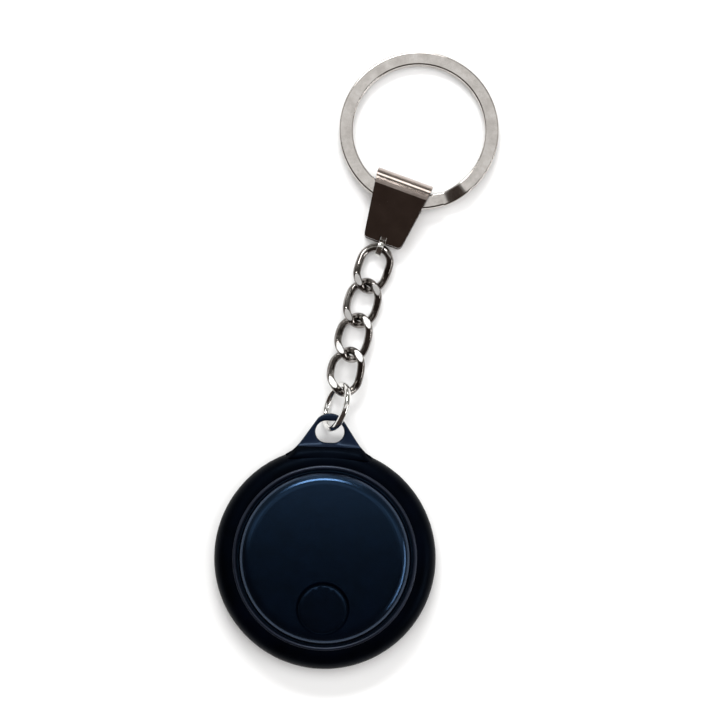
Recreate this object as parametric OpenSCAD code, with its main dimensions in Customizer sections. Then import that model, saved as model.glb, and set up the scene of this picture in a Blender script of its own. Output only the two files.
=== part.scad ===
// Bluetooth tracker tag with its key chain.
// The tag lies on its back on the XY plane, the chain runs out along +Y and +Z is up.
// The origin is the centre of the tag's flat back.

/* [Case] */
// Outer diameter of the case
case_d = 38.5; // [36:0.5:46]
// Height of the rim above the back
rim_h = 6.4; // [6.2:0.1:7.5]
// Width of the rim, from the outside to the cover's groove
rim_w = 3.95; // [3.4:0.05:4.5]
// Rounding of the rim's front edge
rim_round_front = 2.9; // [2:0.1:3]
// Rounding of the rim's back edge
rim_round_back = 2.6; // [1.5:0.1:2.6]
// Radius of the thin bead around the cover
bead_r = 0.35; // [0.2:0.05:0.4]
// Width of the groove between the bead and the cover
groove_w = 0.35; // [0.2:0.05:0.5]
// Wall thickness of the case lip
lip_t = 1; // [0.8:0.1:1.2]
// How far the lip reaches over the cover's flange
lip_over = 1.2; // [0.8:0.1:1.5]

/* [Cover and button] */
// Height of the middle of the domed cover
cover_h = 8.6; // [8.4:0.1:10]
// How much the dome falls from its middle to its shoulder
dome_fall = 0.25; // [0.1:0.05:0.5]
// Rounding of the cover's shoulder
shoulder_r = 2.2; // [1.5:0.1:2.2]
// Side wall of the cover
cover_wall = 1.25; // [1:0.05:1.5]
// Roof of the cover at its middle
cover_roof = 1.3; // [1.1:0.05:1.4]
// Diameter of the button
button_d = 8; // [6:0.1:8.2]
// Gap around the button
button_gap = 0.28; // [0.15:0.01:0.3]
// Depth of the chamfer round the button
button_chamfer = 0.3; // [0.24:0.02:0.5]
// Distance from the cover's side to the button
button_edge = 2.15; // [2:0.05:4]
// Travel of the button
button_travel = 0.25; // [0.15:0.05:0.3]

/* [Battery and door] */
// Diameter of the coin cell
cell_d = 20; // [16:0.1:20]
// Height of the coin cell
cell_h = 3.2; // [2.5:0.1:3.2]
// Diameter of the battery door
door_d = 24.5; // [24.4:0.1:26]
// Thickness of the rear cover's floor
floor_t = 1.2; // [1.2:0.1:1.4]
// Thickness of the door's outer plate
door_t = 0.5; // [0.4:0.05:0.6]
// Inner radius of the door's two thumb grips
grip_in_r = 6; // [4:0.1:7]
// Outer radius of the door's two thumb grips
grip_out_r = 8.6; // [8:0.1:9.4]

/* [Circuit board] */
// Thickness of the circuit board
pcb_t = 0.8; // [0.6:0.1:0.8]
// Diameter of the buzzer's brass plate
buzzer_d = 15; // [12:0.5:15]

/* [Lug] */
// Width of the hole in the lug
hole_w = 5; // [4.6:0.1:5.5]
// Length of the hole in the lug
hole_l = 3.8; // [3.6:0.1:4.2]
// Distance from the case's edge to the hole
hole_off = 0.75; // [0.6:0.05:1.5]
// Wall between the hole and the lug's tip
bar_w = 1.3; // [1:0.05:1.5]
// Thickness of the lug
lug_t = 1.6; // [1.4:0.1:2]
// Height of the lug's middle above the back
lug_z = 4.2; // [4.2:0.05:4.3]
// Half width of the lug where it meets the case
lug_root = 6.2; // [5.6:0.1:7]

/* [Chain] */
// Outside length of a curb link
link_l = 9.1; // [8.6:0.1:9.8]
// Outside width of a curb link
link_w = 6.5; // [6.1:0.1:7]
// Diameter of the curb links' wire
link_wire = 1.35; // [1.2:0.05:1.4]
// Half of a curb link's twist, in degrees
link_twist = 45; // [40:1:48]
// Twist of the last link's bow in the clasp, in degrees
end_twist = 20; // [15:1:25]
// Half height at which the links' tops are filed flat
link_flat = 1.54; // [1.5:0.02:1.9]
// Outside diameter of the jump ring
jump_d = 9; // [8.8:0.1:9.2]
// Diameter of the jump ring's wire
jump_wire = 1.15; // [1:0.05:1.2]
// Tilt of the jump ring about the chain, in degrees
jump_tilt = 65; // [56:1:66]
// Play between one loop of the chain and the next
loop_play = 0.1; // [0.08:0.01:0.2]

/* [Clasp] */
// Width of the clasp at its fold
clasp_w = 10.1; // [8.5:0.1:10.5]
// Width of the clasp at its open end
clasp_w_end = 7; // [5.8:0.1:7]
// Length of the clasp
clasp_l = 12.3; // [11:0.1:14]
// Thickness of the clasp's sheet
clasp_t = 0.8; // [0.6:0.05:0.9]
// Inside radius of the clasp's fold
fold_r = 1.9; // [1.85:0.05:2.3]
// Slope of the clasp's front leaf, in degrees
leaf_slope = 12.5; // [10:0.5:13]
// Diameter of the pin across the clasp
pin_d = 0.8; // [0.6:0.1:0.9]
// Width of the strip that loops round the last link
strip_w = 1; // [0.8:0.1:1.2]
// Thickness of that strip
strip_t = 0.5; // [0.4:0.05:0.55]
// Clearance inside its eye, all round the link's wire
eye_play = 0.35; // [0.3:0.05:0.4]

/* [Key ring] */
// Outside diameter of the key ring
key_d = 28; // [24:0.5:34]
// Width of the key ring's flat wire
key_w = 2.4; // [2:0.1:2.4]
// Thickness of the two coils together
key_t = 2; // [1.6:0.1:2]
// Gap between the two coils
key_gap = 0.08; // [0.06:0.01:0.12]
// Where the coils end, in degrees around the ring
key_split = 301; // [285:1:330]

/* [Hidden] */

$fn = 96;
over = 1;            // how far a cutter reaches past the face it opens
slip = 0.08;         // side clearance of a part that drops into another
seat = 0.02;         // height clearance between stacked faces

// Case and covers, in radii and heights.
case_r = case_d / 2;
mouth_r = case_r - rim_w;
bore_r = mouth_r + lip_over;
cover_r = mouth_r - groove_w;
lip_z = rim_h - lip_t;
flange_t = 0.8;
flange_z = lip_z - seat;
cover_in_r = cover_r - cover_wall;
roof_z = cover_h - cover_roof;
shoulder_z = cover_h - dome_fall;
dome_edge_r = cover_r - shoulder_r;
dome_r = (dome_edge_r * dome_edge_r + dome_fall * dome_fall) / (2 * dome_fall);
wall_t = 0.9;
rear_r = bore_r - slip;

// Battery door and its seal.
door_r = door_d / 2;
seal_r = 0.25;
gland_w = 0.7;
gland_mid_r = door_r - 0.15 - gland_w / 2;
plug_r = cell_d / 2 + 0.55;
throat_r = plug_r + slip * 2;
tab_r = plug_r + 0.65;
tab_half = 12;
tab_t = 0.6;
tab_play = 0.1;
notch_turn = 50;
notch_half = tab_half + 2;
grip_depth = 0.45;
grip_half = 24;
door_top = floor_t + tab_play + tab_t;
cup_floor = 0.85;

// Stack of the coin cell, the board and the parts on it.
cell_play = 0.1;
cell_z = cup_floor + cell_play;
board_top = roof_z - 1.5;
board_z = board_top - pcb_t;
board_r = cover_in_r - 0.3;
boss_r = 1.15;
boss_at = cover_in_r - 1.5;
boss_angles = [28, 152, 212, 328];
peg_r = 0.45;
peg_play = 0.06;

// Button and its switch.
button_r = button_d / 2;
button_off = cover_r - button_edge - button_r;
button_hole_r = button_r + button_gap;
button_flange_r = button_hole_r + 0.3;
button_flange_t = 0.3;
button_play = 0.05;
chamfer_run = 0.9;     // outward run of the chamfer for each millimetre of its height
button_flange_z = roof_z - button_play - button_flange_t;
switch_side = 3.2;
switch_h = 0.6;
plunger_r = 0.7;
plunger_top = button_flange_z - 0.15;
plunger_h = 0.5;
plunger_play = 0.06;
switch_bore_z = plunger_top - plunger_h - button_travel - 2 * plunger_play;

// Buzzer, under the cover's roof.
buzzer_r = buzzer_d / 2;
buzzer_clear = 0.32;
buzzer_y = buzzer_r - button_off + button_flange_r + buzzer_clear;
tape_t = 0.2;
tape_w = 1.2;
plate_t = 0.25;
ceramic_t = 0.2;
plate_z = roof_z - tape_t - plate_t;
ceramic_z = plate_z - ceramic_t;
ceramic_r = buzzer_r * 0.68;
signal_at = [3.6, buzzer_y - ceramic_r / 2 + 4.6];
ground_at = [buzzer_r - 1, buzzer_y];

// Chips on the board: sizes, and where their middles are.
chip_size = [5, 5, 0.7];
chip_at = [-1.5, 4];
crystal_size = [2, 1.6, 0.5];
crystal_at = [4.2, buzzer_y - 1.4];
antenna_size = [5.2, 1.4, 0.7];
antenna_y = 11.2;
coil_size = [2.6, 2.6, 0.7];
coil_at = [6.2, -5.6];
dimple_r = 0.8;
dimple_t = 0.15;
passive_size = [1, 0.5, 0.5];
passives_at = [[-6, 0.5], [-6, 2], [-6, 3.5], [-6, 5], [2, crystal_at[1] - 1.2],
    [4, crystal_at[1] - 1.2], [-6.5, -5], [-6.5, -6.5]];

// Lug: a stadium hole and a rounded tip.
hole_r = hole_l / 2;
hole_half = hole_w / 2 - hole_r;
hole_y = case_r + hole_off + hole_r;
bar_y = hole_y + hole_r;
tip_y = bar_y + bar_w;
tip_r = 3.05;
tip_mid_y = tip_y - tip_r;
root_y = sqrt(case_r * case_r - lug_root * lug_root);
flare_reach = 1.4;      // how far the flare runs along the ring from the root
flare_steps = 8;
flare_x = lug_root + flare_reach;
flare_y = sqrt(case_r * case_r - flare_x * flare_x);
flare_start = 0.4;   // share of the lug's side that is bent into the flare

// Chain: every piece has a middle point, and leans from +Y toward +X.
jump_lean = 14.5;
lean_4 = 9;
lean_3 = 11.5;
lean_2 = 13.2;
lean_1 = 17;
lean_clasp = 18;
jump_r = (jump_d - jump_wire) / 2;
jump_play = 0.7;
link_half = (link_l - link_wire) / 2;
link_side = (link_w - link_wire) / 2;
link_step = link_l - 2 * link_wire - loop_play;
link_z = 1.95;
drop_4 = 12;         // slope of the link next to the jump ring

function lean_dir(a, drop = 0) = [sin(a) * cos(drop), cos(a) * cos(drop), -sin(drop)];

jump_foot = [0, bar_y - jump_wire / 2 - jump_play, lug_z];
jump_mid = jump_foot + jump_r * lean_dir(jump_lean);
jump_top = jump_foot + 2 * jump_r * lean_dir(jump_lean);
hook_4 = (jump_wire + link_wire) / 2 + 1.5 * loop_play;
link_4_mid = jump_top + (link_half - hook_4) * lean_dir(lean_4, drop_4);
knee_4 = link_4_mid + (link_step / 2) * lean_dir(lean_4, drop_4);
drop_3 = asin((knee_4[2] - link_z) / link_step);
link_3_mid = knee_4 + (link_step / 2) * lean_dir(lean_3, drop_3);
knee_3 = knee_4 + link_step * lean_dir(lean_3, drop_3);
link_2_mid = knee_3 + (link_step / 2) * lean_dir(lean_2);
link_1_mid = link_2_mid + (link_step / 2) * (lean_dir(lean_2) + lean_dir(lean_1));
link_1_top = link_1_mid + link_half * lean_dir(lean_1);

// Clasp, drawn with its fold at the origin and its open end toward -X.
fold_out_r = fold_r + clasp_t;
clasp_back_l = clasp_l - fold_out_r;
eye_out = 0.9;      // how far the eye's middle stands out of the clasp
eye_in_r = link_wire / 2 + eye_play;
eye_out_r = eye_in_r + strip_t;
clasp_at = [link_1_top[0], link_1_top[1], 0] + (clasp_back_l + eye_out) * lean_dir(lean_clasp);
strip_l = 2.9;
eye_notch = 0.95;    // depth of the leaves' notches around the eye
pin_r = pin_d / 2;
pin_in = 1.9;
pin_u = pin_in - clasp_back_l;
pin_seat = 0.3;

// Key ring: it hangs in the fold and its far side rests as low as the clasp.
key_mid_r = (key_d - key_w) / 2;
coil_t = (key_t - key_gap) / 2;
key_rise = 0.6;
key_lift = clasp_t + key_rise;
key_droop = asin(key_lift / (2 * key_mid_r + key_w / 2));
key_back = 1.5;
key_lean = 14.7;
key_bevel = 0.28;
ramp_half = 9;       // half of the stretch where the wire climbs from one coil to the other
key_turns = 2;

// ------------------------------------------------------------------ helpers

function arc_points(mid, r, from, to, count) =
    [for (i = [0:count]) mid + r * [cos(from + (to - from) * i / count),
                                    sin(from + (to - from) * i / count)]];

// Points of a curve from a to b that is drawn toward the corner.
function bend(a, corner, b, count) =
    [for (i = [0:count]) let (f = i / count)
        (1 - f) * (1 - f) * a + 2 * f * (1 - f) * corner + f * f * b];

// Puts a piece drawn along +Y at a place, leaning toward +X and dropping by an angle.
module along(place, lean, drop = 0) {
    translate(place)
        rotate([0, 0, -lean])
            rotate([-drop, 0, 0])
                children();
}

module turn_at(angles, radius) {
    for (a = angles)
        rotate([0, 0, a])
            translate([radius, 0, 0])
                children();
}

module disc(r, z, h) {
    translate([0, 0, z])
        cylinder(r = r, h = h);
}

module sector(r, half, z, h) {
    translate([0, 0, z])
        rotate([0, 0, -half])
            rotate_extrude(angle = 2 * half)
                square([r, h]);
}

module block(size, place) {
    translate([place[0] - size[0] / 2, place[1] - size[1] / 2, place[2]])
        cube(size);
}

// A closed tube: rings is a list of rings of points, all with the same count.
function loop_faces(count, sides) =
    [for (i = [0:count - 1], j = [0:sides - 1])
        [i * sides + j,
         i * sides + (j + 1) % sides,
         ((i + 1) % count) * sides + (j + 1) % sides,
         ((i + 1) % count) * sides + j]];

function open_faces(count, sides) = concat(
    [for (i = [0:count - 2], j = [0:sides - 1])
        [i * sides + j,
         i * sides + (j + 1) % sides,
         (i + 1) * sides + (j + 1) % sides,
         (i + 1) * sides + j]],
    [[for (j = [sides - 1:-1:0]) j]],
    [[for (j = [0:sides - 1]) (count - 1) * sides + j]]);

function flatten(rings) = [for (ring = rings, p = ring) p];

// ------------------------------------------------------------------ the case

module lug_outline() {
    side = atan2(tip_mid_y - root_y, lug_root - tip_r * 0.75);
    tip = arc_points([0, tip_mid_y], tip_r, 90 - side, 90 + side, 20);
    root = [lug_root, root_y];
    flare = bend([flare_x, flare_y], root, root + flare_start * (tip[0] - root), flare_steps);
    polygon(concat(flare, tip, [for (i = [flare_steps:-1:0]) [-flare[i][0], flare[i][1]]],
        [[-lug_root, bore_r / 2], [lug_root, bore_r / 2]]));
}

module lug_hole() {
    for (s = [-1, 1])
        translate([s * hole_half, hole_y, lug_z - lug_t])
            cylinder(r = hole_r, h = 2 * lug_t);
    block([2 * hole_half, hole_l, 2 * lug_t], [0, hole_y, lug_z - lug_t]);
}

module rim_section() {
    polygon(concat(
        [[bore_r, 0]],
        arc_points([case_r - rim_round_back, rim_round_back], rim_round_back, -90, 0, 10),
        arc_points([case_r - rim_round_front, rim_h - rim_round_front],
            rim_round_front, 0, 90, 12),
        arc_points([mouth_r + bead_r, rim_h], bead_r, 0, 180, 10),
        [[mouth_r, lip_z], [bore_r, lip_z]]));
}

module case_body() {
    color([0.05, 0.07, 0.12])
        difference() {
            union() {
                rotate_extrude()
                    rim_section();
                difference() {
                    translate([0, 0, lug_z - lug_t / 2])
                        linear_extrude(lug_t)
                            lug_outline();
                    disc((bore_r + case_r) / 2, -over, rim_h + 2 * over);
                }
            }
            lug_hole();
        }
}

// ------------------------------------------------------------------ front cover

function dome_points() =
    [for (i = [0:10]) let (r = dome_edge_r * i / 10)
        [r, cover_h - dome_r + sqrt(dome_r * dome_r - r * r)]];

module cover_skin(bottom) {
    rotate_extrude()
        polygon(concat(
            dome_points(),
            arc_points([cover_r - shoulder_r, shoulder_z - shoulder_r],
                shoulder_r, 80, 0, 10),
            [[cover_r, bottom], [0, bottom]]));
}

module at_button() {
    translate([0, -button_off, 0])
        children();
}

module front_cover() {
    color([0.06, 0.09, 0.17])
        union() {
            difference() {
                union() {
                    cover_skin(flange_z - flange_t);
                    disc(rear_r, flange_z - flange_t, flange_t);
                }
                disc(cover_in_r, flange_z - flange_t - over, roof_z - flange_z + flange_t + over);
                at_button() {
                    disc(button_hole_r, roof_z - over, cover_roof + 2 * over);
                    translate([0, 0, shoulder_z - button_chamfer])
                        cylinder(r1 = button_hole_r, r2 = button_hole_r + chamfer_run,
                            h = over);
                }
            }
            turn_at(boss_angles, boss_at) {
                disc(boss_r, board_top, roof_z - board_top + seat);
            }
            turn_at(boss_angles, boss_at) {
                disc(peg_r, board_z - 0.3, board_top - board_z + 0.3);
            }
        }
}

module button_cap() {
    color([0.05, 0.08, 0.15])
        union() {
            intersection() {
                at_button()
                    disc(button_r, button_flange_z + button_flange_t / 2, cover_h);
                cover_skin(button_flange_z);
            }
            at_button()
                disc(button_flange_r, button_flange_z, button_flange_t);
            at_button()
                disc(plunger_r + 0.25, plunger_top, button_flange_z - plunger_top);
        }
}

// ------------------------------------------------------------------ rear cover and door

module rear_cover() {
    color([0.05, 0.06, 0.1])
        difference() {
            disc(rear_r, 0, flange_z - flange_t - seat);
            disc(rear_r - wall_t, floor_t, rim_h);
            disc(throat_r, -over, floor_t + 2 * over);
            disc(door_r + slip, -over, door_t + slip + over);
            translate([0, 0, door_t])
                difference() {
                    disc(gland_mid_r + gland_w / 2, 0, 2 * seal_r);
                    disc(gland_mid_r - gland_w / 2, -over, 2 * seal_r + 2 * over);
                }
            for (a = [0, 180])
                rotate([0, 0, a - notch_turn])
                    sector(tab_r + slip, notch_half, -over, floor_t + 2 * over);
        }
}

module thumb_grip() {
    difference() {
        sector(grip_out_r, grip_half, -over, grip_depth + over);
        disc(grip_in_r, -2 * over, grip_depth + 3 * over);
    }
}

module battery_door() {
    color([0.05, 0.06, 0.1])
        difference() {
            union() {
                disc(door_r, 0, door_t);
                disc(plug_r, 0, door_top);
                for (a = [0, 180])
                    rotate([0, 0, a])
                        sector(tab_r, tab_half, floor_t + tab_play, tab_t);
            }
            disc(cell_d / 2 + 0.2, cup_floor, door_top);
            for (a = [90, 270])
                rotate([0, 0, a])
                    thumb_grip();
        }
}

module door_seal() {
    color([0.35, 0.36, 0.38])
        translate([0, 0, door_t + seal_r])
            rotate_extrude()
                translate([gland_mid_r, 0])
                    circle(r = seal_r - seat, $fn = 32);
}

// ------------------------------------------------------------------ electronics

module coin_cell() {
    rim = 1.1;
    step = 0.3;
    soft = 0.25;
    color([0.78, 0.79, 0.8])
        translate([0, 0, cell_z])
            rotate_extrude()
                polygon([[0, 0], [cell_d / 2 - soft, 0], [cell_d / 2, soft],
                    [cell_d / 2, cell_h - step - soft], [cell_d / 2 - soft, cell_h - step],
                    [cell_d / 2 - rim, cell_h - step], [cell_d / 2 - rim - soft, cell_h],
                    [0, cell_h]]);
}

module pcb() {
    color([0.05, 0.3, 0.16])
        difference() {
            disc(board_r, board_z, pcb_t);
            turn_at(boss_angles, boss_at)
                disc(peg_r + peg_play, board_z - over, pcb_t + 2 * over);
        }
}

module switch_body() {
    color([0.8, 0.8, 0.78])
        at_button()
            difference() {
                union() {
                    block([switch_side, switch_side, switch_h], [0, 0, board_top]);
                    for (s = [-1, 1])
                        block([switch_side + 1.6, 0.6, 0.15], [0, s * 1.1, board_top]);
                }
                disc(plunger_r + plunger_play, switch_bore_z, switch_h);
            }
}

module switch_plunger() {
    color([0.15, 0.15, 0.15])
        at_button()
            disc(plunger_r, plunger_top - plunger_h, plunger_h);
}

module on_board(size, at) {
    block(size, [at[0], at[1], board_top]);
}

module ble_chip() {
    color([0.1, 0.1, 0.11])
        on_board(chip_size, chip_at);
}

module crystal() {
    color([0.75, 0.75, 0.72])
        on_board(crystal_size, crystal_at);
}

module chip_antenna() {
    color([0.85, 0.85, 0.8])
        on_board(antenna_size, [0, antenna_y]);
}

module boost_coil() {
    color([0.2, 0.2, 0.22])
        difference() {
            on_board(coil_size, coil_at);
            translate([coil_at[0], coil_at[1], board_top + coil_size[2] - dimple_t])
                cylinder(r = dimple_r, h = over);
        }
}

module chip_passives() {
    color([0.6, 0.5, 0.4])
        for (p = passives_at)
            on_board(passive_size, p);
}

module buzzer_adhesive() {
    color([0.85, 0.83, 0.75])
        translate([0, buzzer_y, plate_z + plate_t])
            difference() {
                cylinder(r = buzzer_r, h = tape_t);
                translate([0, 0, -over])
                    cylinder(r = buzzer_r - tape_w, h = tape_t + 2 * over);
            }
}

module buzzer_plate() {
    color([0.8, 0.65, 0.3])
        translate([0, buzzer_y, plate_z])
            cylinder(r = buzzer_r, h = plate_t);
}

module buzzer_ceramic() {
    color([0.92, 0.92, 0.9])
        translate([0, buzzer_y, ceramic_z])
            cylinder(r = ceramic_r, h = ceramic_t);
}

module buzzer_springs() {
    color([0.85, 0.7, 0.35]) {
        translate([signal_at[0], signal_at[1], board_top])
            spring_pin(ceramic_z - board_top);
        translate([ground_at[0], ground_at[1], board_top])
            spring_pin(plate_z - board_top);
    }
}

module spring_pin(h) {
    cylinder(r = 0.5, h = h * 0.55, $fn = 32);
    cylinder(r = 0.3, h = h, $fn = 32);
}

// Both contacts are strips bent from thin sheet, seen here from the side.
module strip(path, w) {
    rotate([90, 0, 0])
        translate([0, 0, -w / 2])
            linear_extrude(w)
                polygon(path);
}

module negative_contact() {
    t = 0.15;
    touch = cell_z + cell_h;
    color([0.8, 0.78, 0.7])
        strip([[-5, board_z], [-5, board_z - t], [-2.2, board_z - t], [1.5, touch],
            [3, touch], [3, touch + t], [1.6, touch + t], [-2.1, board_z]], 2.4);
}

module positive_contact() {
    t = 0.2;
    side = cell_d / 2;
    low = cell_z + cell_h * 0.45;
    color([0.8, 0.78, 0.7])
        rotate([0, 0, 90])
            strip([[side + 1.8, board_z], [side + 0.1, board_z], [side + 0.3, board_z - t],
                [side + 0.3, low + 0.6], [side, low + 0.3], [side + 0.3, low],
                [side + 0.3 + t, low], [side + 0.2 + t, low + 0.3],
                [side + 0.3 + t, low + 0.6], [side + 0.3 + t, board_z - t],
                [side + 1.8, board_z - t]], 2.6);
}

// ------------------------------------------------------------------ chain

module jump_ring() {
    color([0.75, 0.75, 0.75])
        along(jump_mid, jump_lean)
            rotate([0, -jump_tilt, 0])
                rotate_extrude()
                    translate([jump_r, 0])
                        circle(r = jump_wire / 2, $fn = 32);
}

// Middle line of a flat link: two straight sides and two half circles.
// t runs from 0 to 4, one unit for each of the four stretches.
function track(t, side, half) = let (straight = half - side, k = floor(t), f = t - k)
    k == 0 ? [side, straight * (2 * f - 1)] :
    k == 1 ? [side * cos(180 * f), straight + side * sin(180 * f)] :
    k == 2 ? [-side, straight * (1 - 2 * f)] :
             [-side * cos(180 * f), -straight - side * sin(180 * f)];

// Its outward direction at the same place.
function track_out(t) = let (k = floor(t), f = t - k)
    k == 0 ? [1, 0] :
    k == 1 ? [cos(180 * f), sin(180 * f)] :
    k == 2 ? [-1, 0] :
             [-cos(180 * f), -sin(180 * f)];

function about_y(p, a) = [p[0] * cos(a) + p[2] * sin(a), p[1], p[2] * cos(a) - p[0] * sin(a)];

function clamp(v, low, high) = min(max(v, low), high);

// One ring of points around the twisted wire, with the top and bottom filed flat.
function link_ring(t, sides, top_twist) =
    let (m = track(t, link_side, link_half),
         o = track_out(t),
         a = -(m[1] > 0 ? top_twist : link_twist) * m[1] / link_half)
    [for (j = [0:sides - 1])
        let (u = 360 * j / sides,
             p = [m[0] + link_wire / 2 * cos(u) * o[0],
                  m[1] + link_wire / 2 * cos(u) * o[1],
                  link_wire / 2 * sin(u)],
             q = about_y(p, a))
        [q[0], q[1], clamp(q[2], -link_flat, link_flat)]];

link_stations = concat(
    [for (i = [0:3]) i / 4],
    [for (i = [0:19]) 1 + i / 20],
    [for (i = [0:3]) 2 + i / 4],
    [for (i = [0:19]) 3 + i / 20]);
link_sides = 12;

module curb_link(top_twist = link_twist) {
    color([0.72, 0.72, 0.73])
        polyhedron(
            points = flatten([for (t = link_stations) link_ring(t, link_sides, top_twist)]),
            faces = loop_faces(len(link_stations), link_sides),
            convexity = 6);
}

module chain_link_4() {
    along(link_4_mid, lean_4, drop_4)
        curb_link();
}

module chain_link_3() {
    along(link_3_mid, lean_3, drop_3)
        curb_link();
}

module chain_link_2() {
    along(link_2_mid, lean_2)
        curb_link();
}

module chain_link_1() {
    along(link_1_mid, lean_1)
        curb_link(end_twist);
}

// ------------------------------------------------------------------ clasp and key ring

// The clasp is drawn with its length along +X and then turned onto the chain.
module at_clasp() {
    translate(clasp_at)
        rotate([0, 0, 90 - lean_clasp])
            children();
}

// Height of the front leaf's inner face above the back leaf's underside.
function leaf_in_z(u) = fold_out_r + (fold_r + u * sin(leaf_slope)) / cos(leaf_slope);

module clasp_side() {
    up = 90 + leaf_slope;
    end_in = leaf_in_z(-clasp_back_l);
    end_out = end_in + clasp_t / cos(leaf_slope);
    polygon(concat(
        arc_points([0, fold_out_r], fold_out_r, up, -90, 24),
        [[-clasp_back_l, 0], [-clasp_back_l, clasp_t]],
        arc_points([0, fold_out_r], fold_r, -90, up, 24),
        [[-clasp_back_l, end_in], [-clasp_back_l, end_out]]));
}

module clasp_outline() {
    soft = 0.8;
    a = atan2((clasp_w - clasp_w_end) / 2, clasp_l);
    end_half = clasp_w_end / 2 - soft;
    polygon(concat(
        [[fold_out_r + over, -clasp_w / 2], [fold_out_r + over, clasp_w / 2],
         [fold_out_r - 1, clasp_w / 2]],
        arc_points([-clasp_back_l + soft, end_half], soft, 90 + a, 180, 8),
        arc_points([-clasp_back_l + soft, -end_half], soft, 180, 270 - a, 8),
        [[fold_out_r - 1, -clasp_w / 2]]));
}

module clasp_strap() {
    color([0.42, 0.38, 0.36])
        at_clasp()
            difference() {
                intersection() {
                    rotate([90, 0, 0])
                        translate([0, 0, -clasp_w / 2])
                            linear_extrude(clasp_w)
                                clasp_side();
                    translate([0, 0, -over])
                        linear_extrude(3 * fold_out_r + over)
                            clasp_outline();
                }
                clasp_pin_shape();
                block([2 * eye_notch, strip_w + 0.3, 3 * fold_out_r], [-clasp_back_l, 0, -over]);
            }
}

module clasp_pin_shape() {
    low = clasp_t - pin_seat;
    translate([pin_u, 0, low])
        cylinder(r = pin_r, h = leaf_in_z(pin_u) + pin_seat - low, $fn = 32);
}

module clasp_pin() {
    color([0.6, 0.6, 0.6])
        at_clasp()
            clasp_pin_shape();
}

// The strip's side: an eye round the link's wire, and two legs between the leaves.
module loop_side() {
    eye = [-clasp_back_l - eye_out, link_z];
    from = eye[0] + eye_in_r;
    to = strip_l - clasp_back_l;
    difference() {
        union() {
            translate(eye)
                circle(r = eye_out_r);
            polygon([[eye[0], clasp_t + seat], [to, clasp_t + seat],
                [to, clasp_t + seat + strip_t], [from, clasp_t + seat + strip_t],
                [from, leaf_in_z(from) - seat - strip_t], [to, leaf_in_z(to) - seat - strip_t],
                [to, leaf_in_z(to) - seat], [-clasp_back_l, leaf_in_z(-clasp_back_l) - seat],
                [eye[0], leaf_in_z(-clasp_back_l) - seat]]);
        }
        translate(eye)
            circle(r = eye_in_r);
    }
}

module clasp_loop() {
    color([0.62, 0.6, 0.58])
        at_clasp()
            difference() {
                rotate([90, 0, 0])
                    translate([0, 0, -strip_w / 2])
                        linear_extrude(strip_w)
                            loop_side();
                clasp_pin_shape();
            }
}

// Height of the flat wire's middle: low coil, climb, high coil.
function coil_z(a) = let (f = clamp((a - 360 + ramp_half) / (2 * ramp_half), 0, 1))
    (coil_t + key_gap) * (f * f * (3 - 2 * f) - 0.5);

function key_ring_section(a) =
    let (w = key_w / 2, h = coil_t / 2, b = key_bevel)
    [for (p = [[-w, -h + b], [-w + b, -h], [w - b, -h], [w, -h + b],
               [w, h - b], [w - b, h], [-w + b, h], [-w, h - b]])
        [(key_mid_r + p[0]) * cos(a), (key_mid_r + p[0]) * sin(a), p[1] + coil_z(a)]];

module key_ring_coils() {
    from = ramp_half + 2;
    to = 360 * key_turns - ramp_half - 2;
    count = 112;
    polyhedron(
        points = flatten([for (i = [0:count - 1])
            key_ring_section(from + (to - from) * i / (count - 1))]),
        faces = open_faces(count, 8),
        convexity = 8);
}

module key_ring() {
    color([0.7, 0.68, 0.65])
        translate([clasp_at[0], clasp_at[1], key_lift + key_t / 2])
            rotate([0, 0, -lean_clasp])
                translate([0, -key_back, 0])
                    rotate([-key_droop, 0, 0])
                        rotate([0, 0, lean_clasp - key_lean])
                            translate([0, key_mid_r, 0])
                                rotate([0, 0, key_split + key_lean])
                                    key_ring_coils();
}

// ------------------------------------------------------------------ the parts

case_body();
front_cover();
rear_cover();
battery_door();
door_seal();
button_cap();
switch_body();
switch_plunger();
pcb();
ble_chip();
crystal();
chip_antenna();
boost_coil();
chip_passives();
buzzer_adhesive();
buzzer_plate();
buzzer_ceramic();
buzzer_springs();
positive_contact();
negative_contact();
coin_cell();
jump_ring();
chain_link_1();
chain_link_2();
chain_link_3();
chain_link_4();
clasp_loop();
clasp_pin();
clasp_strap();
key_ring();
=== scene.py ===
import math

import bmesh
import bpy
from mathutils import Matrix, Vector


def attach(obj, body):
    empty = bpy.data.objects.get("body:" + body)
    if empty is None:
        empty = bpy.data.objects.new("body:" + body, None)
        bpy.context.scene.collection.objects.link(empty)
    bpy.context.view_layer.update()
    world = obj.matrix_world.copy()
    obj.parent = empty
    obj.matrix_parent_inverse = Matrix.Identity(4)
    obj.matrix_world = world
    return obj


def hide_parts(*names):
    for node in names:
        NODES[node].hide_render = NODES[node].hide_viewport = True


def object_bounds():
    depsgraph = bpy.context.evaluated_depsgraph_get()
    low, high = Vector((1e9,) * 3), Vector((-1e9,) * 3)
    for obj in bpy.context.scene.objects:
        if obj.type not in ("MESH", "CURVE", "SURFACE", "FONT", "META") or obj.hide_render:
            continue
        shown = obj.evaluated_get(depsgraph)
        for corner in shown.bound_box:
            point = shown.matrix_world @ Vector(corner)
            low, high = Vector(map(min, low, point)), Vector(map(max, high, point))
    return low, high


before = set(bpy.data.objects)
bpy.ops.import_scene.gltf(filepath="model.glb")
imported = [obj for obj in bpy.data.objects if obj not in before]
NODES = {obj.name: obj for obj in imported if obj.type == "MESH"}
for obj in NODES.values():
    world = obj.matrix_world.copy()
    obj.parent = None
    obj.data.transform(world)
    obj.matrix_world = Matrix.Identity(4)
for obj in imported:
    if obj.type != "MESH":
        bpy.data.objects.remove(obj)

MM = 0.001
CAD_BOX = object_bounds()

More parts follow.
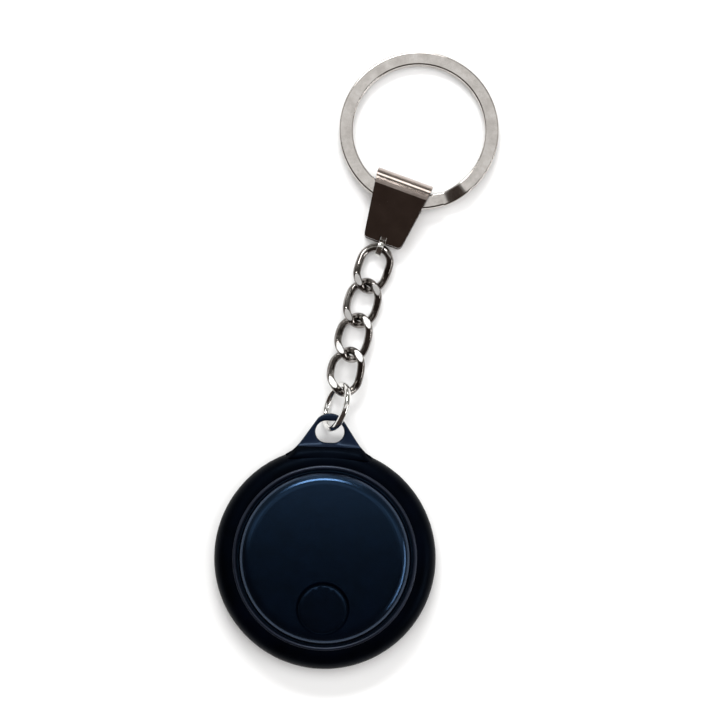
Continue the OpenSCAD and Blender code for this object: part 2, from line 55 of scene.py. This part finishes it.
# Shapes drawn again here with finer curves, as in the CAD part (millimetres and degrees).
LINK_HALF = 3.875
LINK_SIDE = 2.575
LINK_WIRE = 1.35
LINK_FLAT = 1.54
LINK_TWIST = 45
LINK_END_TWIST = 20
LINK_SIDES = 48
LINKS = {
    "chain_link_4": dict(
        body="link_4", mid=(2.3442, 32.5161, 3.68542),
        lean=9, drop=12, end=LINK_TWIST),
    "chain_link_3": dict(
        body="link_3", mid=(3.4449, 38.6003, 2.49025),
        lean=11.5, drop=9.87548, end=LINK_TWIST),
    "chain_link_2": dict(
        body="link_2", mid=(4.78291, 44.7081, 1.95),
        lean=13.2, drop=0, end=LINK_TWIST),
    "chain_link_1": dict(
        body="link_1", mid=(6.42319, 50.7873, 1.95),
        lean=17, drop=0, end=LINK_END_TWIST),
}
RING_MID_R = 12.8
RING_WIRE = 2.4
RING_COIL = 0.96
RING_GAP = 0.08
RING_LIFT = 1.4
RING_T = 2.0
RING_BACK = 1.5
RING_DROOP = 2.99443
RING_LEAN = 14.7
RING_SPLIT = 301
RING_RAMP = 9
RING_END_GAP = 2
RING_STATIONS = 420
WIRE_ROUND = 0.28
FLAT_INSET = 0.06
CLASP_AT = (10.8008, 64.479, 0)
CLASP_LEAN = 18
CASE_R = 19.25
BORE_R = 16.5
MOUTH_R = 15.3
LIP_Z = 5.4
RIM_H = 6.4
RIM_FRONT = 2.9
RIM_BACK = 2.6
BEAD_R = 0.35
LUG_Z = 4.2
LUG_T = 1.6
LUG_ROOT = (6.2, 18.2242)
LUG_FLARE = (7.6, 17.6862)
LUG_TIP = (0, 22.05)
LUG_TIP_R = 3.05
HOLE_Y = 21.9
HOLE_HALF = 0.6
HOLE_R = 1.9
# LUG_LINE: where the lug's lighter plastic (painted light) begins
LUG_LINE = 19.2
LUG_SOFT = 0.42


# ---------------------------------------------------------------- node helpers

def new_material(name):
    mat = bpy.data.materials.new(name)
    mat.use_nodes = True
    tree = mat.node_tree
    return mat, tree, tree.nodes["Principled BSDF"]


def add(tree, kind, **inputs):
    node = tree.nodes.new(kind)
    for key, value in inputs.items():
        node.inputs[key.replace("_", " ")].default_value = value
    return node


def millimetres(tree):
    """Object coordinates counted in millimetres."""
    coord = tree.nodes.new("ShaderNodeTexCoord")
    scale = tree.nodes.new("ShaderNodeVectorMath")
    scale.operation = "SCALE"
    scale.inputs["Scale"].default_value = 1 / MM
    tree.links.new(coord.outputs["Object"], scale.inputs[0])
    return scale.outputs[0]


def noise(tree, place, per_mm, detail=3.0, rough=0.5, stretch=None):
    node = add(tree, "ShaderNodeTexNoise", Scale=per_mm, Detail=detail, Roughness=rough)
    if stretch:
        turn = add(tree, "ShaderNodeMapping", Scale=stretch)
        tree.links.new(place, turn.inputs["Vector"])
        place = turn.outputs[0]
    tree.links.new(place, node.inputs["Vector"])
    return node.outputs["Fac"]


def ramp(tree, value, *stops):
    """Colour ramp from (position, colour) stops."""
    node = tree.nodes.new("ShaderNodeValToRGB")
    line = node.color_ramp.elements
    while len(line) < len(stops):
        line.new(0.5)
    for stop, (at, colour) in zip(line, stops):
        stop.position = at
        stop.color = (*colour, 1) if len(colour) == 3 else colour
    tree.links.new(value, node.inputs["Fac"])
    return node.outputs["Color"]


def multiply(tree, a, b):
    node = tree.nodes.new("ShaderNodeMath")
    node.operation = "MULTIPLY"
    tree.links.new(a, node.inputs[0])
    tree.links.new(b, node.inputs[1])
    return node.outputs[0]


def mix(tree, share, low, high):
    """Colour between a linked low one and a fixed high one."""
    node = tree.nodes.new("ShaderNodeMix")
    node.data_type = "RGBA"
    factor, first, second, result = node.inputs[0], node.inputs[6], node.inputs[7], node.outputs[2]
    tree.links.new(share, factor)
    tree.links.new(low, first)
    second.default_value = (*high, 1)
    return result


def grey(v):
    return (v, v, v)


def bump(tree, shader, *layers):
    """Stacks bump layers of (height output, depth in mm, strength)."""
    last = None
    for height, depth, strength in layers:
        node = add(tree, "ShaderNodeBump", Distance=depth * MM, Strength=strength)
        tree.links.new(height, node.inputs["Height"])
        if last:
            tree.links.new(last, node.inputs["Normal"])
        last = node.outputs["Normal"]
    tree.links.new(last, shader.inputs["Normal"])


# ---------------------------------------------------------------- materials

def plastic(name, low, high, rough, grain=5.0, depth=0.012, tint=(1, 1, 1), spread=0.06, specular=0.25,
            coat=0.0):
    """Moulded plastic: fine spark-eroded grain, slightly uneven colour and gloss."""
    mat, tree, shader = new_material(name)
    place = millimetres(tree)
    cloud = noise(tree, place, 0.22, 4)
    tree.links.new(ramp(tree, cloud, (0.35, low), (0.68, high)), shader.inputs["Base Color"])
    patch = noise(tree, place, 0.5, 5, 0.6)
    tree.links.new(ramp(tree, patch, (0.3, grey(rough - spread)), (0.7, grey(rough + spread))),
                   shader.inputs["Roughness"])
    bump(tree, shader,
         (noise(tree, place, grain, 2), depth, 0.55),
         (noise(tree, place, 0.35, 1), 0.05, 0.12))
    shader.inputs["Specular Tint"].default_value = (*tint, 1)
    shader.inputs["Specular IOR Level"].default_value = specular
    shader.inputs["Coat Weight"].default_value = coat
    shader.inputs["Coat Roughness"].default_value = 0.22
    return mat


def metal(name, low, high, rough, spread=0.05, grain=9.0, stretch=None, depth=0.004, wear=0.25):
    """Plated metal: cloudy tone, fine polishing marks and small handling scuffs."""
    mat, tree, shader = new_material(name)
    place = millimetres(tree)
    cloud = noise(tree, place, 0.45, 4)
    tree.links.new(ramp(tree, cloud, (0.34, low), (0.66, high)), shader.inputs["Base Color"])
    scuff = noise(tree, place, 1.6, 6, 0.65, stretch)
    tree.links.new(ramp(tree, scuff, (0.38, grey(rough - spread)), (0.6, grey(rough + spread)),
                        (0.72, grey(rough + spread + wear * 0.3))),
                   shader.inputs["Roughness"])
    bump(tree, shader,
         (noise(tree, place, grain, 3, 0.6, stretch), depth, 0.5),
         (noise(tree, place, 0.8, 2), 0.02, 0.2))
    shader.inputs["Metallic"].default_value = 1
    return mat


def board(name):
    """Green solder mask with faint copper tracks under it."""
    mat, tree, shader = new_material(name)
    place = millimetres(tree)
    tracks = add(tree, "ShaderNodeTexVoronoi", Scale=0.55)
    tracks.feature = "DISTANCE_TO_EDGE"
    tracks.distance = "EUCLIDEAN"
    tree.links.new(place, tracks.inputs["Vector"])
    line = ramp(tree, tracks.outputs["Distance"], (0.03, (0.03, 0.17, 0.06)), (0.07, (0.012, 0.08, 0.03)))
    tree.links.new(line, shader.inputs["Base Color"])
    shine = ramp(tree, noise(tree, place, 0.8, 4), (0.3, grey(0.25)), (0.7, grey(0.4)))
    tree.links.new(shine, shader.inputs["Roughness"])
    bump(tree, shader, (tracks.outputs["Distance"], 0.03, 0.3), (noise(tree, place, 3, 3), 0.01, 0.4))
    return mat


def make_materials():
    return {
        "case": plastic("case_plastic", (0.0002, 0.0003, 0.0008), (0.0004, 0.0007, 0.0022), 0.40,
                        grain=7, depth=0.010, tint=(0.35, 0.60, 1.0), specular=0.04),
        # bead: the case plastic painted lighter and glossier, a painted highlight along the bead's top
        "bead": plastic("case_bead", (0.0030, 0.0040, 0.0080), (0.0050, 0.0070, 0.0130), 0.34,
                        grain=7, depth=0.002, tint=(0.62, 0.74, 1.0), specular=0.6),
        # lug: the case plastic painted lighter, painted light on the lug, which is one moulding with the
        # ring
        "lug": plastic("case_lug", (0.0012, 0.0028, 0.0090), (0.0022, 0.0050, 0.0160), 0.36,
                       grain=6, depth=0.012, tint=(0.45, 0.66, 1.0), specular=0.32),
        "cover": plastic("cover_plastic", (0.0002, 0.0005, 0.0015), (0.0003, 0.0009, 0.0032), 0.20,
                         grain=6.5, depth=0.022, tint=(0.14, 0.45, 1.0), spread=0.02, specular=0.70,
                         coat=0.18),
        "button": plastic("button_plastic", (0.0002, 0.0004, 0.0012), (0.0003, 0.0008, 0.0028), 0.20,
                          grain=6.5, depth=0.022, tint=(0.14, 0.45, 1.0), spread=0.02, specular=0.60,
                          coat=0.18),
        "rear": plastic("rear_plastic", (0.0006, 0.0009, 0.0022), (0.0010, 0.0016, 0.0046), 0.46,
                        grain=5, depth=0.016, tint=(0.5, 0.7, 1.0), specular=0.18),
        "seal": plastic("seal_rubber", (0.010, 0.010, 0.011), (0.022, 0.022, 0.023), 0.75, grain=3),
        "switch": plastic("switch_ceramic", (0.55, 0.53, 0.48), (0.66, 0.64, 0.58), 0.42, grain=6),
        "chip": plastic("chip_black", (0.012, 0.012, 0.013), (0.022, 0.022, 0.024), 0.55, grain=8),
        "board": board("board_green"),
        "contact": metal("contact_steel", (0.55, 0.54, 0.52), (0.70, 0.69, 0.66), 0.28),
        "antenna": plastic("antenna_ceramic", (0.72, 0.70, 0.66), (0.82, 0.80, 0.76), 0.38, grain=7),
        "ferrite": plastic("ferrite", (0.035, 0.035, 0.037), (0.06, 0.06, 0.062), 0.6, grain=4, depth=0.03),
        "passive": plastic("passive_ceramic", (0.34, 0.24, 0.14), (0.46, 0.34, 0.21), 0.4, grain=6),
        "tape": plastic("tape", (0.55, 0.53, 0.45), (0.66, 0.64, 0.56), 0.7, grain=3),
        "brass": metal("brass", (0.58, 0.40, 0.16), (0.76, 0.57, 0.27), 0.3, stretch=(0.2, 6, 1)),
        "buzzer": plastic("buzzer_white", (0.72, 0.71, 0.66), (0.82, 0.81, 0.77), 0.5, grain=4),
        "cell": metal("cell_steel", (0.60, 0.60, 0.59), (0.74, 0.74, 0.72), 0.22, stretch=(0.25, 5, 1)),
        "chain": metal("chain_nickel", (0.13, 0.115, 0.105), (0.36, 0.34, 0.325), 0.12, spread=0.04,
                       grain=5, depth=0.006, wear=0.5),
        # filed flats: a near-white copy of the chain metal; the flats are real, their whiteness is a painted
        # highlight
        "facet_highlight": metal("chain_facets_painted_highlight", (0.93, 0.92, 0.90), (0.98, 0.97, 0.96), 0.32, spread=0.04,
                       grain=5, depth=0.004, wear=0.3),
        # clasp: dark metal whose brown cast is a painted reflection of a warm dark surrounding; the dark
        # tone is the metal's own
        "clasp": metal("clasp_nickel", (0.37, 0.31, 0.28), (0.45, 0.385, 0.35), 0.12, spread=0.02,
                       grain=7, depth=0.002, wear=0.02),
        "ring": metal("ring_nickel", (0.50, 0.47, 0.44), (0.62, 0.59, 0.56), 0.17, spread=0.03,
                      grain=6, depth=0.004, wear=0.2),
        "jump": metal("jump_nickel", (0.66, 0.65, 0.63), (0.84, 0.83, 0.81), 0.14, spread=0.04,
                      grain=5, depth=0.004, wear=0.3),
    }


NODE_MATERIAL = {
    "case_body": "case", "front_cover": "cover", "rear_cover": "rear", "battery_door": "rear",
    "door_seal": "seal", "button_cap": "button", "switch_body": "switch", "switch_plunger": "chip",
    "pcb": "board", "ble_chip": "chip", "crystal": "contact", "chip_antenna": "antenna",
    "boost_coil": "ferrite", "chip_passives": "passive", "buzzer_adhesive": "tape",
    "buzzer_plate": "brass", "buzzer_ceramic": "buzzer", "buzzer_springs": "contact",
    "positive_contact": "contact", "negative_contact": "contact", "coin_cell": "cell",
    "jump_ring": "jump", "chain_link_1": "chain", "chain_link_2": "chain", "chain_link_3": "chain",
    "chain_link_4": "chain", "clasp_loop": "jump", "clasp_pin": "clasp", "clasp_strap": "clasp",
    "key_ring": "ring",
}


# ---------------------------------------------------------------- mesh helpers

def mesh_object(name, points, faces, material, smooth_angle=None):
    """Object from points in millimetres."""
    mesh = bpy.data.meshes.new(name)
    mesh.from_pydata([Vector(p) * MM for p in points], [], faces)
    mesh.validate()
    bm = bmesh.new()
    bm.from_mesh(mesh)
    bmesh.ops.recalc_face_normals(bm, faces=bm.faces)
    bm.to_mesh(mesh)
    bm.free()
    obj = bpy.data.objects.new(name, mesh)
    bpy.context.collection.objects.link(obj)
    mesh.materials.append(material)
    if smooth_angle:
        mesh.shade_smooth()
        mesh.set_sharp_from_angle(angle=math.radians(smooth_angle))
    return obj


def rings_to_faces(count, sides, closed):
    """Quads between successive rings of points, with end faces if the run is open."""
    faces = []
    for i in range(count if closed else count - 1):
        k = (i + 1) % count
        for j in range(sides):
            m = (j + 1) % sides
            faces.append((i * sides + j, i * sides + m, k * sides + m, k * sides + j))
    if not closed:
        faces.append(tuple(range(sides)))
        faces.append(tuple(reversed(range((count - 1) * sides, count * sides))))
    return faces


def clamp(v, low, high):
    return min(max(v, low), high)


# ---------------------------------------------------------------- chain links

def link_track(t):
    """Centre of the wire and its outward direction, before the twist."""
    straight = LINK_HALF - LINK_SIDE
    k, f = int(t), t - int(t)
    a = math.pi * f
    if k == 0:
        return (LINK_SIDE, straight * (2 * f - 1)), (1, 0)
    if k == 1:
        return (LINK_SIDE * math.cos(a), straight + LINK_SIDE * math.sin(a)), (math.cos(a), math.sin(a))
    if k == 2:
        return (-LINK_SIDE, straight * (1 - 2 * f)), (-1, 0)
    return (-LINK_SIDE * math.cos(a), -straight - LINK_SIDE * math.sin(a)), (-math.cos(a), -math.sin(a))


def curb_link(name, wire, facet_highlight, mid, lean, drop, end):
    """A twisted wire loop whose top and bottom are filed flat."""
    sides = LINK_SIDES
    steps = (16, 56)    # stations along a straight side and round an end
    stations = []
    for k in range(4):
        stations += [k + i / steps[k % 2] for i in range(steps[k % 2])]
    turn = (Matrix.Translation(mid) @ Matrix.Rotation(math.radians(-lean), 4, "Z")
            @ Matrix.Rotation(math.radians(-drop), 4, "X"))
    points = []
    filed = []
    for t in stations:
        (x, y), (ox, oy) = link_track(t)
        a = -math.radians(end if y > 0 else LINK_TWIST) * y / LINK_HALF
        for j in range(sides):
            u = 2 * math.pi * j / sides
            r = LINK_WIRE / 2
            p = (x + r * math.cos(u) * ox, y + r * math.cos(u) * oy, r * math.sin(u))
            q = (p[0] * math.cos(a) + p[2] * math.sin(a), p[1], p[2] * math.cos(a) - p[0] * math.sin(a))
            filed.append(abs(q[2]) >= LINK_FLAT)
            points.append(turn @ Vector((q[0], q[1], clamp(q[2], -LINK_FLAT, LINK_FLAT))))
    link = mesh_object(name, points, rings_to_faces(len(stations), sides, True), wire, 22)
    # the filed flats take the near-white metal: painted highlight on real filed faces
    link.data.materials.append(facet_highlight)
    for face in link.data.polygons:
        if all(filed[v] for v in face.vertices):
            face.material_index = 1
    return link


# ---------------------------------------------------------------- key ring

def ring_height(a):
    """Height of the wire on its way from the lower coil to the upper one."""
    f = clamp((a - 360 + RING_RAMP) / (2 * RING_RAMP), 0, 1)
    return (RING_COIL + RING_GAP) * (f * f * (3 - 2 * f) - 0.5)


def wire_section():
    """Flat wire with rounded corners. A point just inside each corner keeps the flats flat in shading."""
    w, h, b = RING_WIRE / 2, RING_COIL / 2, WIRE_ROUND
    flat = w - b - FLAT_INSET
    out = []
    for cx, cy, start in ((w - b, h - b, 0), (b - w, h - b, 90), (b - w, b - h, 180), (w - b, b - h, 270)):
        out += arc((cx, cy), b, start, start + 90, 4)
        if start == 0:
            out += [(flat, h), (-flat, h)]
        if start == 180:
            out += [(-flat, -h), (flat, -h)]
    return out


def key_ring(name, material):
    start = RING_RAMP + RING_END_GAP
    stop = 720 - start
    count = RING_STATIONS
    section = wire_section()
    turn = (Matrix.Translation((CLASP_AT[0], CLASP_AT[1], RING_LIFT + RING_T / 2))
            @ Matrix.Rotation(math.radians(-CLASP_LEAN), 4, "Z")
            @ Matrix.Translation((0, -RING_BACK, 0))
            @ Matrix.Rotation(math.radians(-RING_DROOP), 4, "X")
            @ Matrix.Rotation(math.radians(CLASP_LEAN - RING_LEAN), 4, "Z")
            @ Matrix.Translation((0, RING_MID_R, 0))
            @ Matrix.Rotation(math.radians(RING_SPLIT + RING_LEAN), 4, "Z"))
    points = []
    for i in range(count):
        a = start + (stop - start) * i / (count - 1)
        c, s = math.cos(math.radians(a)), math.sin(math.radians(a))
        for x, z in section:
            r = RING_MID_R + x
            points.append(turn @ Vector((r * c, r * s, z + ring_height(a))))
    return mesh_object(name, points, rings_to_faces(count, len(section), False), material, 30)


# ---------------------------------------------------------------- case with its lug

def arc(mid, r, start, stop, count):
    out = []
    for i in range(count + 1):
        a = math.radians(start + (stop - start) * i / count)
        out.append((mid[0] + r * math.cos(a), mid[1] + r * math.sin(a)))
    return out


def case_ring():
    """Points and faces of the turned ring with its bead."""
    count = 256
    profile = ([(BORE_R, 0.0)] + arc((CASE_R - RIM_BACK, RIM_BACK), RIM_BACK, -90, 0, 14)
               + arc((CASE_R - RIM_FRONT, RIM_H - RIM_FRONT), RIM_FRONT, 0, 90, 20)
               + arc((MOUTH_R + BEAD_R, RIM_H), BEAD_R, 0, 180, 14)
               + [(MOUTH_R, LIP_Z), (BORE_R, LIP_Z)])
    points = []
    for i in range(count):
        a = 2 * math.pi * i / count
        points += [(r * math.cos(a), r * math.sin(a), z) for r, z in profile]
    return points, rings_to_faces(count, len(profile), True)


def lug_edge():
    """Right half of the lug's outline, from inside the ring to the tip."""
    rx, ry = LUG_ROOT
    side = math.degrees(math.atan2(LUG_TIP[1] - ry, rx - LUG_TIP_R * 0.75))
    tip = arc(LUG_TIP, LUG_TIP_R, 90 - side, 90, 24)
    bent = 0.4          # share of the side that is bent into the flare
    join = (rx + bent * (tip[0][0] - rx), ry + bent * (tip[0][1] - ry))
    flare = []
    for i in range(13):
        f = i / 12
        flare.append(tuple((1 - f) ** 2 * a + 2 * f * (1 - f) * b + f * f * c
                           for a, b, c in zip(LUG_FLARE, (rx, ry), join)))
    inside_ring = [(0.0, 17.0), (4.0, 16.95), (LUG_FLARE[0] - 0.5, 16.9)]
    return inside_ring + flare + tip


def march(path, count):
    """Evenly spaced points along a path."""
    length = [0]
    for a, b in zip(path, path[1:]):
        length.append(length[-1] + math.dist(a, b))
    out, k = [], 0
    for i in range(count):
        at = length[-1] * i / (count - 1)
        while k < len(path) - 2 and length[k + 1] < at:
            k += 1
        f = (at - length[k]) / (length[k + 1] - length[k])
        out.append(tuple(a + f * (b - a) for a, b in zip(path[k], path[k + 1])))
    return out


def hole_point(a):
    x, y = HOLE_R * math.cos(a), HOLE_R * math.sin(a)
    return (x + math.copysign(HOLE_HALF, x) if abs(x) > 1e-6 else x, y + HOLE_Y)


def ease(f):
    """Smooth step from 0 to 1."""
    f = clamp(f, 0, 1)
    return f * f * (3 - 2 * f)


def lug_top(x, y):
    """Height of the lug's top: flat, then sweeping up into the ring along a nearly straight line."""
    root_y, root_bow = 19.30, 0.012     # the root line on the middle, and how it bows back
    crest_r = 18.58                     # where the ring's own round would meet the lug
    side_run = 2.2                      # the sweep fades out over this width at the flare
    inner_r, inner_run = 16.9, 1.7      # and over this depth toward the middle of the tag
    steep = 4                           # slope of the ring's height beyond its round
    below = 0.03                        # keeps the sweep under the ring's surface
    blend = 0.4                         # rounding between the flat and the sweep
    sink = 0.02                         # lowers the whole top by this much
    flat = LUG_Z + LUG_T / 2
    from_middle = math.hypot(x, y)
    push = max(math.hypot(x, root_y - root_bow * x * x) - crest_r, 0)
    push *= ease((LUG_FLARE[0] - abs(x)) / side_run)
    push *= ease((from_middle - inner_r) / inner_run)
    across = from_middle - push - (CASE_R - RIM_FRONT)
    ring = RIM_H - RIM_FRONT - below
    if across < RIM_FRONT:
        ring += math.sqrt(RIM_FRONT ** 2 - max(across, 0) ** 2)
    else:
        ring -= steep * (across - RIM_FRONT)
    return (flat + ring + math.sqrt((flat - ring) ** 2 + blend ** 2)) / 2 - sink


def lug_row(outside, hole, edge, spans):
    """Points round one cut through the lug, from its outline to the hole and back underneath."""
    length = math.dist(outside, hole)
    toward = ((hole[0] - outside[0]) / length, (hole[1] - outside[1]) / length)
    inset = min(LUG_SOFT, length * 0.45)
    bottom = LUG_Z - LUG_T / 2

    def at(d):
        return outside[0] + toward[0] * d, outside[1] + toward[1] * d

    near = [(d * inset / LUG_SOFT, fall) for d, fall in edge]
    far = [(length - d, fall) for d, fall in reversed(near)]
    middle = [(inset + (length - 2 * inset) * i / spans, 0) for i in range(1, spans)]
    top = [(*at(d), lug_top(*at(d)) - fall) for d, fall in near + middle + far]
    under = [(*at(d), bottom + fall) for d, fall in far[::-1] + near[::-1]]
    return top + under


def lug_shell():
    """Points and faces of the lug, with softly rounded edges."""
    half = march(lug_edge(), 72)
    outline = half + [(-x, y) for x, y in reversed(half[1:-1])]
    edge = []
    for t in range(0, 91, 18):
        a = math.radians(t)
        edge.append((LUG_SOFT * (1 - math.cos(a)), LUG_SOFT * (1 - math.sin(a))))
    rows = []
    for x, y in outline:
        rows.append(lug_row((x, y), hole_point(math.atan2(y - HOLE_Y, x)), edge, 10))
    return [p for row in rows for p in row], rings_to_faces(len(rows), len(rows[0]), True)


def case_shell(name, material, bead, lug):
    """Ring and lug in one piece. The bead and the lug get lighter plastics of their own: a painted highlight
    along the bead and painted light on the lug.
    """
    points, faces = case_ring()
    more, lug_faces = lug_shell()
    shift = len(points)
    faces += [tuple(v + shift for v in f) for f in lug_faces]
    shell = mesh_object(name, points + more, faces, material, 40)
    shell.data.materials.append(bead)
    shell.data.materials.append(lug)
    bm = bmesh.new()
    bm.from_mesh(shell.data)
    lug_parts = [v for v in bm.verts if v.index >= shift]
    lug_parts += [g for g in [*bm.edges, *bm.faces] if all(v.index >= shift for v in g.verts)]
    # cut along LUG_LINE so the edge of the lug's painted-light colour runs straight
    bmesh.ops.bisect_plane(bm, geom=lug_parts, plane_co=(0, LUG_LINE * MM, 0), plane_no=(0, 1, 0))
    bm.to_mesh(shell.data)
    bm.free()
    for face in shell.data.polygons:
        middle = face.center / MM
        # faces beyond the lug line take the lighter lug plastic: painted light
        if middle.y > LUG_LINE:
            face.material_index = 2
        # faces on top of the bead take the lighter bead plastic: painted highlight
        if middle.z > RIM_H - 0.05 and math.hypot(middle.x, middle.y) < MOUTH_R + 2 * BEAD_R:
            face.material_index = 1
    return shell


# ---------------------------------------------------------------- camera, light, floor

def make_camera():
    low, high = CAD_BOX
    shift = Vector((0.6, -0.45, 0)) * MM
    aim = (low + high) / 2 + shift
    aim.z = 3 * MM
    distance = 0.50
    tilt = math.radians(3)
    roll = math.radians(2.2)
    frame_width = 0.1257
    data = bpy.data.cameras.new("camera")
    data.sensor_width = 36
    data.lens = data.sensor_width * distance / frame_width
    data.clip_start = 0.01
    data.clip_end = 10
    camera = bpy.data.objects.new("camera", data)
    bpy.context.collection.objects.link(camera)
    camera.location = aim + Vector((0, -math.sin(tilt), math.cos(tilt))) * distance
    camera.rotation_euler = (Matrix.Rotation(tilt, 4, "X") @ Matrix.Rotation(roll, 4, "Z")).to_euler()
    bpy.context.scene.camera = camera


def map_range(tree, value, start, stop, smooth=True):
    node = add(tree, "ShaderNodeMapRange", From_Min=start, From_Max=stop)
    if smooth:
        node.interpolation_type = "SMOOTHSTEP"
    tree.links.new(value, node.inputs["Value"])
    return node.outputs[0]


def make_world():
    """Graded room: dark overhead and on the near side, a bright band beyond the key ring, grey walls."""
    dark_wall = (0.055, 0.042, 0.036)
    grey_wall = (0.25, 0.25, 0.235)
    world = bpy.data.worlds.new("room")
    bpy.context.scene.world = world
    world.use_nodes = True
    tree = world.node_tree
    coord = tree.nodes.new("ShaderNodeTexCoord")
    split = tree.nodes.new("ShaderNodeSeparateXYZ")
    tree.links.new(coord.outputs["Generated"], split.inputs[0])
    beyond = split.outputs["Y"]
    above_walls = map_range(tree, split.outputs["Z"], 0.45, 0.90)
    band_start = map_range(tree, beyond, 0.06, 0.14)
    band_end = map_range(tree, beyond, 0.42, 0.28)
    band = multiply(tree, multiply(tree, above_walls, band_start), band_end)
    walls = ramp(tree, map_range(tree, beyond, 0.12, 0.34, smooth=False), (0.0, dark_wall), (1.0, grey_wall))
    back = tree.nodes["Background"]
    back.inputs["Strength"].default_value = 1.0
    tree.links.new(mix(tree, band, walls, grey(1.0)), back.inputs["Color"])


def area_light(name, place, aim, size, power):
    data = bpy.data.lights.new(name, "AREA")
    data.shape = "RECTANGLE"
    data.size, data.size_y = size
    data.energy = power
    light = bpy.data.objects.new(name, data)
    bpy.context.collection.objects.link(light)
    light.location = place
    light.rotation_euler = (Vector(aim) - Vector(place)).to_track_quat("-Z", "Y").to_euler()
    return light


def make_lights():
    """Places and sizes in metres, powers in watts."""
    area_light("softbox", (-0.04, 0.31, 0.30), (0, 0.02, 0), (0.20, 0.06), 0.9)
    fill = area_light("fill", (0, 0.04, 0.60), (0, 0.04, 0), (0.60, 0.60), 3.0)
    fill.visible_glossy = False     # whitens the floor without showing in the metal and plastic
    area_light("far_strip", (0.05, 0.60, 0.22), (0, 0.03, 0), (0.50, 0.05), 0.3)
    area_light("right_strip", (0.50, -0.10, 0.32), (0.01, 0.05, 0), (0.40, 0.06), 0.9)


def make_floor():
    mat, tree, shader = new_material("floor_paint")
    place = millimetres(tree)
    tone = ramp(tree, noise(tree, place, 0.02, 3), (0.3, grey(0.90)), (0.7, grey(0.93)))
    tree.links.new(tone, shader.inputs["Base Color"])
    shader.inputs["Roughness"].default_value = 0.9
    shader.inputs["Specular IOR Level"].default_value = 0.1
    half, z = 1500, -0.02
    corners = [(-half, -half, z), (half, -half, z), (half, half, z), (-half, half, z)]
    floor = mesh_object("floor", corners, [(0, 1, 2, 3)], mat)


# ---------------------------------------------------------------- the object

def soften(obj, width):
    """Small rounded edges on a CAD node."""
    weld = obj.modifiers.new("weld", "WELD")
    weld.merge_threshold = 0.0005 * MM
    edge = obj.modifiers.new("edge", "BEVEL")
    edge.width = width * MM
    edge.segments = 3
    edge.limit_method = "ANGLE"
    edge.angle_limit = math.radians(42)
    edge.harden_normals = True


SOFT_EDGE = {"button_cap": 0.14, "clasp_strap": 0.26, "clasp_loop": 0.08,
             "rear_cover": 0.12, "battery_door": 0.1, "clasp_pin": 0.08}


def finish_cad_nodes(mats):
    """Gives every CAD node its material, and those in SOFT_EDGE rounded edges."""
    for name, obj in NODES.items():
        mat = mats[NODE_MATERIAL[name]]
        for s in obj.material_slots:
            s.material = mat
        if not obj.material_slots:
            obj.data.materials.append(mat)
        if name in SOFT_EDGE:
            soften(obj, SOFT_EDGE[name])


def stand_in(piece, node, body):
    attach(piece, body)
    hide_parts(node)


def build():
    mats = make_materials()
    finish_cad_nodes(mats)
    for node, place in LINKS.items():
        place = dict(place)
        body = place.pop("body")
        piece = curb_link(node + "_wire", mats["chain"], mats["facet_highlight"], **place)
        stand_in(piece, node, body)
    stand_in(key_ring("key_ring_coils", mats["ring"]), "key_ring", "ring")
    shell = case_shell("case_shell", mats["case"], mats["bead"], mats["lug"])
    stand_in(shell, "case_body", "case")


make_camera()
make_world()
make_floor()
make_lights()
bpy.context.scene.view_settings.view_transform = "Standard"    # keeps the white floor white
build()
